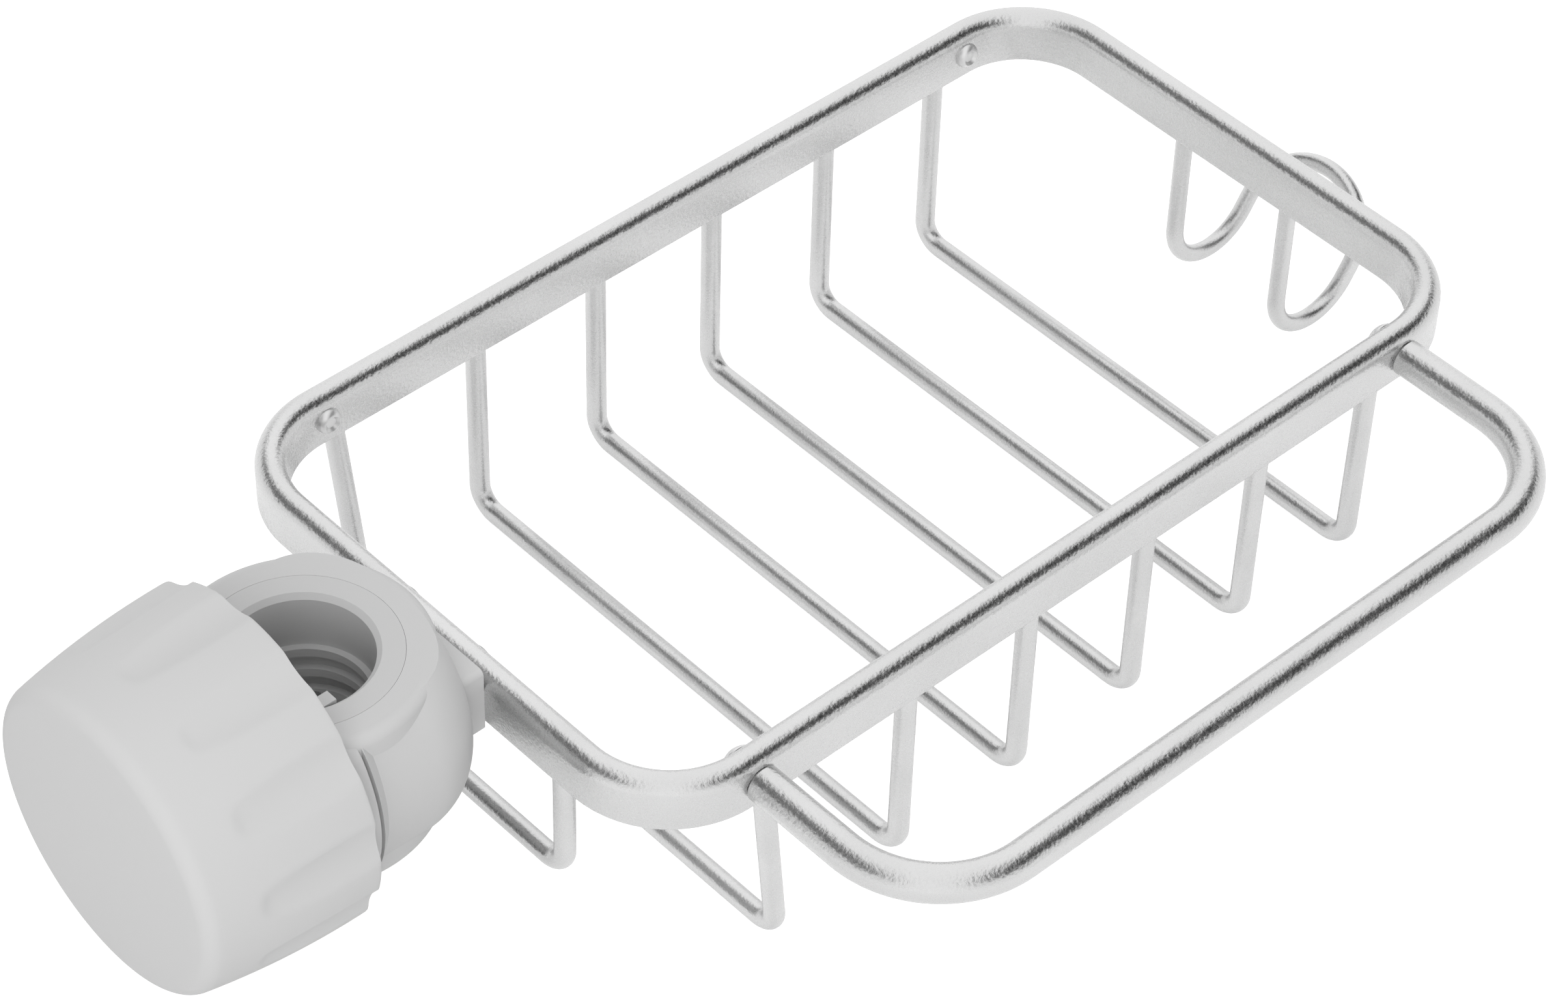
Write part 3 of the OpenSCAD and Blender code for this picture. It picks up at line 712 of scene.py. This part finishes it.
class RACK_OT_rivets(bpy.types.Operator):
    """Sets the two rivets with their dished heads into the rear rail"""

    bl_idname = "rack.rivets"
    bl_label = "Rivets"

    def execute(self, context):
        sizes = context.scene.rack_rivets
        inside = RIM_HIGH.y - context.scene.rack_rim.thickness
        for side in ("left", "right"):
            node = f"rear_rivet_{side}"
            low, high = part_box(node)
            middle = (low + high) / 2
            outline = self.outline(sizes, inside, high.y)
            points = [(middle.x, y, middle.z + r) for y, r in outline]
            bm = bmesh.new()
            turn_outline(bm, points, middle, (0, 1, 0), sizes.sides)
            piece = settle(bm, f"rivet_{side}", finish("bright_steel"), RACK)
            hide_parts(node)
        return {"FINISHED"}

    @staticmethod
    def outline(sizes, inside, outside):
        """Half outline along Y: dished head inside the basket, shank and closed end."""
        head, shank, dish = sizes.head / 2, sizes.shank / 2, sizes.dish / 2
        crown = inside - sizes.height
        dish_floor = crown + sizes.dish_depth
        dish_edge = crown + sizes.dish_depth * sizes.dish_edge
        points = [(dish_floor, 0.0), (dish_floor, dish * sizes.dish_floor), (dish_edge, dish)]
        for step in range(1, sizes.crown_steps + 1):
            turned = math.pi / 2 * step / sizes.crown_steps
            drop = sizes.height * math.cos(turned) ** sizes.crown
            points.append((inside - drop, dish + (head - dish) * math.sin(turned)))
        tail = outside - sizes.tail
        foot, top = head * sizes.tail_foot, head * sizes.tail_top
        points += [(inside + sizes.gap, shank), (tail, shank), (tail, foot)]
        points += [(outside - sizes.tail_bevel, foot), (outside, top), (outside, 0.0)]
        return points


def blend_lower(first, second, blend):
    """The lower of two heights, with a soft change from one to the other."""
    share = max(0.0, min(1.0, 0.5 + 0.5 * (second - first) / blend))
    return second + (first - second) * share - blend * share * (1 - share)


def arc(centre, radius, start, end, count):
    """Points along an arc from start to end, in the plane of the knob's outline."""
    first = math.atan2(start[1] - centre[1], start[0] - centre[0])
    last = math.atan2(end[1] - centre[1], end[0] - centre[0])
    turns = [first + (last - first) * i / count for i in range(count + 1)]
    return [(centre[0] + radius * math.cos(t), centre[1] + radius * math.sin(t)) for t in turns]


def meeting(a, radius_a, b, radius_b):
    """The outer of the two points where two circles meet."""
    gap = (b - a).length
    along = (radius_a**2 - radius_b**2 + gap**2) / (2 * gap)
    off = math.sqrt(radius_a**2 - along**2)
    unit = (b - a) / gap
    side = Vector((-unit.y, unit.x))
    found = [a + unit * along + side * off, a + unit * along - side * off]
    return max(found, key=lambda point: point.y)


class RACK_OT_knob(bpy.types.Operator):
    """Turns the knob's outline and presses its soft flutes in"""

    bl_idname = "rack.knob"
    bl_label = "Knob"

    def execute(self, context):
        sizes = context.scene.rack_knob
        radius = KNOB_HIGH.z
        face = -KNOB_LOW.x
        rim = face - sizes.length
        points = [(-a, 0, r) for a, r in self.outline(sizes, radius, face, rim)]
        bm = bmesh.new()
        turn_outline(bm, points, (0, 0, 0), (1, 0, 0), sizes.flutes * sizes.steps_per_flute)
        bmesh.ops.remove_doubles(bm, verts=bm.verts, dist=MERGE)
        self.press_flutes(bm, sizes, radius, face, rim)
        piece = settle(
            bm, "fluted_knob", finish("knob_plastic"), "knob", sharp=50.0
        )
        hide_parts("knob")
        return {"FINISHED"}

    @staticmethod
    def outline(sizes, radius, face, rim):
        """Half outline, as distance along the knob's axis and radius: from the face's middle
        over the edge and the side to the open rim, and through the hollow to the stem's tip."""
        side = Vector((rim, radius - sizes.side))
        dome = Vector((face - sizes.dome, 0.0))
        edge = meeting(side, sizes.side - sizes.edge, dome, sizes.dome - sizes.edge)
        side_touch = side + (edge - side).normalized() * sizes.side
        dome_touch = dome + (edge - dome).normalized() * sizes.dome
        hollow = radius - sizes.wall
        hollow_end = hollow - sizes.draft
        inside = face - sizes.front
        seat = -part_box("pressure_pad")[0].x
        end = seat - sizes.tip_length
        bevel, root, point = sizes.bevel, sizes.hollow_bevel, sizes.tip_bevel
        over_rim = bevel * 0.3
        return [
            (face, 0.0),
            *arc(dome, sizes.dome, (face, 0.0), dome_touch, sizes.dome_steps)[1:],
            *arc(edge, sizes.edge, dome_touch, side_touch, sizes.edge_steps)[1:],
            *arc(side, sizes.side, side_touch, (rim, radius), sizes.side_steps)[1:-1],
            (rim + bevel, radius), (rim + over_rim, radius - over_rim), (rim, radius - bevel),
            (rim, hollow + bevel), (rim + bevel, hollow),
            (inside - root, hollow_end), (inside, hollow_end - root),
            (inside, sizes.stem + bevel), (inside - bevel, sizes.stem),
            (seat + bevel, sizes.stem), (seat, sizes.stem - bevel), (seat, sizes.tip),
            (end + point, sizes.tip), (end, sizes.tip - point), (end, 0.0),
        ]

    @staticmethod
    def press_flutes(bm, sizes, radius, face, rim):
        """Moves the side's corners inwards, where a flute's hollow lies below them."""
        end = face - sizes.flute_tip
        side = radius - sizes.side + math.sqrt(sizes.side**2 - (end - rim) ** 2)
        end_radius = side - sizes.flute_end_depth
        slope = (radius - sizes.flute_depth - end_radius) / (end - rim)
        pitch = 2 * math.pi / sizes.flutes
        outside = radius - sizes.wall + sizes.flute_reach
        for vert in bm.verts:
            a = -vert.co.x
            here = math.hypot(vert.co.y, vert.co.z)
            if a < rim - MERGE or here < outside:
                continue
            turned = math.atan2(vert.co.y, vert.co.z) - sizes.flute_turn
            off = (turned + pitch / 2) % pitch - pitch / 2
            rise = max(0.0, a - end) ** 2 / (2 * sizes.flute_round)
            depth = radius - sizes.flute_depth - slope * (a - rim) + rise
            middle = depth + sizes.flute_radius
            reach = sizes.flute_radius**2 - (middle * math.sin(off)) ** 2
            if reach <= 0:
                continue
            hollow = middle * math.cos(off) - math.sqrt(reach)
            pressed = blend_lower(here, hollow, sizes.flute_blend)
            vert.co.y *= pressed / here
            vert.co.z *= pressed / here


class RACK_OT_stage(bpy.types.Operator):
    """Sets the floor, the studio light and the camera"""

    bl_idname = "rack.stage"
    bl_label = "Stage"

    def execute(self, context):
        settings = context.scene.rack_stage
        self.floor(settings)
        self.lamps(settings)
        self.studio(settings)
        self.camera(context, settings)
        context.scene.view_settings.view_transform = "Standard"
        return {"FINISHED"}

    @staticmethod
    def floor(settings):
        """A plain white floor below the rack, which keeps the rack's shadow."""
        bm = bmesh.new()
        bmesh.ops.create_grid(bm, x_segments=1, y_segments=1, size=settings.floor_reach)
        height = CAD_BOX[0].z - settings.floor_gap
        bmesh.ops.translate(bm, verts=list(bm.verts), vec=(0, 0, height))
        mesh = bpy.data.meshes.new("floor")
        bm.to_mesh(mesh)
        bm.free()
        material = bpy.data.materials.new("white_floor")
        material.use_nodes = True
        wiring = Wiring(material.node_tree)
        rays = wiring.new("LightPath").outputs
        mirrored = wiring.math("MULTIPLY", rays["Is Glossy Ray"], settings.floor_mirrored)
        glow = wiring.math("MULTIPLY_ADD", rays["Is Camera Ray"], settings.floor_glow, mirrored)
        grey = settings.floor_grey
        wiring.fill(
            wiring.tree.nodes["Principled BSDF"], Base_Color=(grey, grey, grey, 1.0),
            Roughness=settings.floor_roughness, Specular_IOR_Level=0.0,
            Emission_Color=WHITE, Emission_Strength=glow,
        )
        mesh.materials.append(material)
        floor = bpy.data.objects.new("floor", mesh)
        bpy.context.scene.collection.objects.link(floor)

    @staticmethod
    def lamps(settings):
        """A lamp overhead and a soft one in front, both left out of the metal's reflections."""
        for name, place, size, power in (
            ("overhead", OVERHEAD_PLACE, OVERHEAD_SIZE, settings.overhead),
            ("front_fill", FILL_PLACE, FILL_SIZE, settings.front_fill),
        ):
            light = bpy.data.lights.new(name, "AREA")
            light.size = size
            light.energy = power
            lamp = bpy.data.objects.new(name, light)
            lamp.location = place
            aim = LAMP_TARGET - Vector(place)
            lamp.rotation_euler = aim.to_track_quat("-Z", "Y").to_euler()
            lamp.visible_glossy = False
            bpy.context.scene.collection.objects.link(lamp)

    @staticmethod
    def studio(settings):
        """White walls, a dark flag high up at each side of the camera, a bright slot between."""
        world = bpy.data.worlds.new("studio")
        bpy.context.scene.world = world
        world.use_nodes = True
        wiring = Wiring(world.node_tree)
        place = wiring.new("TexCoord").outputs["Generated"]
        parts = wiring.new("SeparateXYZ")
        wiring.fill(parts, Vector=place)
        height = parts.outputs["Z"]
        dot = wiring.new("VectorMath", operation="DOT_PRODUCT")
        wiring.put(dot.inputs[0], place)
        wiring.put(dot.inputs[1], (math.cos(settings.azimuth), math.sin(settings.azimuth), 0.0))
        side = dot.outputs["Value"]

        def ramp(value, start, end):
            """A soft change from 0 at start to 1 at end."""
            made = wiring.new("MapRange", interpolation_type="SMOOTHSTEP")
            wiring.fill(made, From_Min=start, From_Max=end, Value=value)
            return made.outputs["Result"]

        start, end = FLAG_SIDE
        band = wiring.math("MULTIPLY", ramp(height, *FLAG_BOTTOM), ramp(height, *FLAG_TOP))
        right = wiring.math("MULTIPLY", ramp(side, start, end), band)
        left = wiring.math("MULTIPLY", ramp(side, -start, -end), band)
        flags = wiring.math("MULTIPLY_ADD", left, settings.left_flag, right)
        walls = wiring.new("MapRange")
        wiring.fill(walls, To_Min=1.0, To_Max=settings.flag, Value=flags)
        slot = ramp(wiring.math("ABSOLUTE", side), *SLOT_SIDE)
        light = wiring.math("MULTIPLY_ADD", slot, settings.slot, walls.outputs["Result"])
        camera_ray = wiring.new("LightPath").outputs["Is Camera Ray"]
        shown = wiring.math("MAXIMUM", light, camera_ray)
        wiring.fill(wiring.tree.nodes["Background"], Color=WHITE, Strength=shown)

    @staticmethod
    def camera(context, settings):
        """The camera, from its direction, roll, lens and place."""
        azimuth, elevation, roll = settings.azimuth, settings.elevation, settings.roll
        across = math.cos(elevation)
        back = Vector((
            math.sin(azimuth) * across, -math.cos(azimuth) * across, math.sin(elevation)
        ))
        right = Vector((math.cos(azimuth), math.sin(azimuth), 0))
        up = back.cross(right)
        turned_right = math.cos(roll) * right + math.sin(roll) * up
        turned_up = math.cos(roll) * up - math.sin(roll) * right
        turned = Matrix((turned_right, turned_up, back)).transposed().to_4x4()
        data = bpy.data.cameras.new("camera")
        data.sensor_width = 36.0
        data.lens = settings.lens
        data.clip_start = 0.01
        data.clip_end = 20.0
        camera = bpy.data.objects.new("camera", data)
        camera.matrix_world = Matrix.Translation(settings.place) @ turned
        context.scene.collection.objects.link(camera)
        context.scene.camera = camera


class RACK_PT_panel(bpy.types.Panel):
    """Lists the rack's pieces and their sizes in the sidebar"""

    bl_idname = "RACK_PT_panel"
    bl_label = "Drain rack"
    bl_space_type = "VIEW_3D"
    bl_region_type = "UI"
    bl_category = "Drain rack"

    def draw(self, context):
        for operator in OPERATORS:
            self.layout.operator(operator.bl_idname)
        for group in SIZE_GROUPS:
            settings = getattr(context.scene, group)
            box = self.layout.box()
            for key in settings.bl_rna.properties.keys():
                if key not in ("rna_type", "name"):
                    box.prop(settings, key)


SIZE_GROUPS = {
    "rack_rim": RimSizes,
    "rack_wires": WireSizes,
    "rack_hook": HookSizes,
    "rack_rail": RailSizes,
    "rack_rivets": RivetSizes,
    "rack_knob": KnobSizes,
    "rack_finishes": Finishes,
    "rack_stage": StageSettings,
}
OPERATORS = (
    RACK_OT_rim, RACK_OT_wires, RACK_OT_hook, RACK_OT_towel_rail, RACK_OT_rivets,
    RACK_OT_clamp, RACK_OT_knob, RACK_OT_stage,
)


def register():
    """Registers the sizes, the operators and the panel."""
    for group in SIZE_GROUPS.values():
        bpy.utils.register_class(group)
    for name, group in SIZE_GROUPS.items():
        setattr(bpy.types.Scene, name, bpy.props.PointerProperty(type=group))
    for operator in OPERATORS:
        bpy.utils.register_class(operator)
    bpy.utils.register_class(RACK_PT_panel)


def unregister():
    """Takes away what register added."""
    bpy.utils.unregister_class(RACK_PT_panel)
    for operator in reversed(OPERATORS):
        bpy.utils.unregister_class(operator)
    for name, group in SIZE_GROUPS.items():
        delattr(bpy.types.Scene, name)
        bpy.utils.unregister_class(group)


def main():
    register()
    bpy.ops.rack.rim()
    bpy.ops.rack.wires()
    bpy.ops.rack.hook()
    bpy.ops.rack.towel_rail()
    bpy.ops.rack.rivets()
    bpy.ops.rack.clamp()
    bpy.ops.rack.knob()
    bpy.ops.rack.stage()


if __name__ == "__main__":
    main()
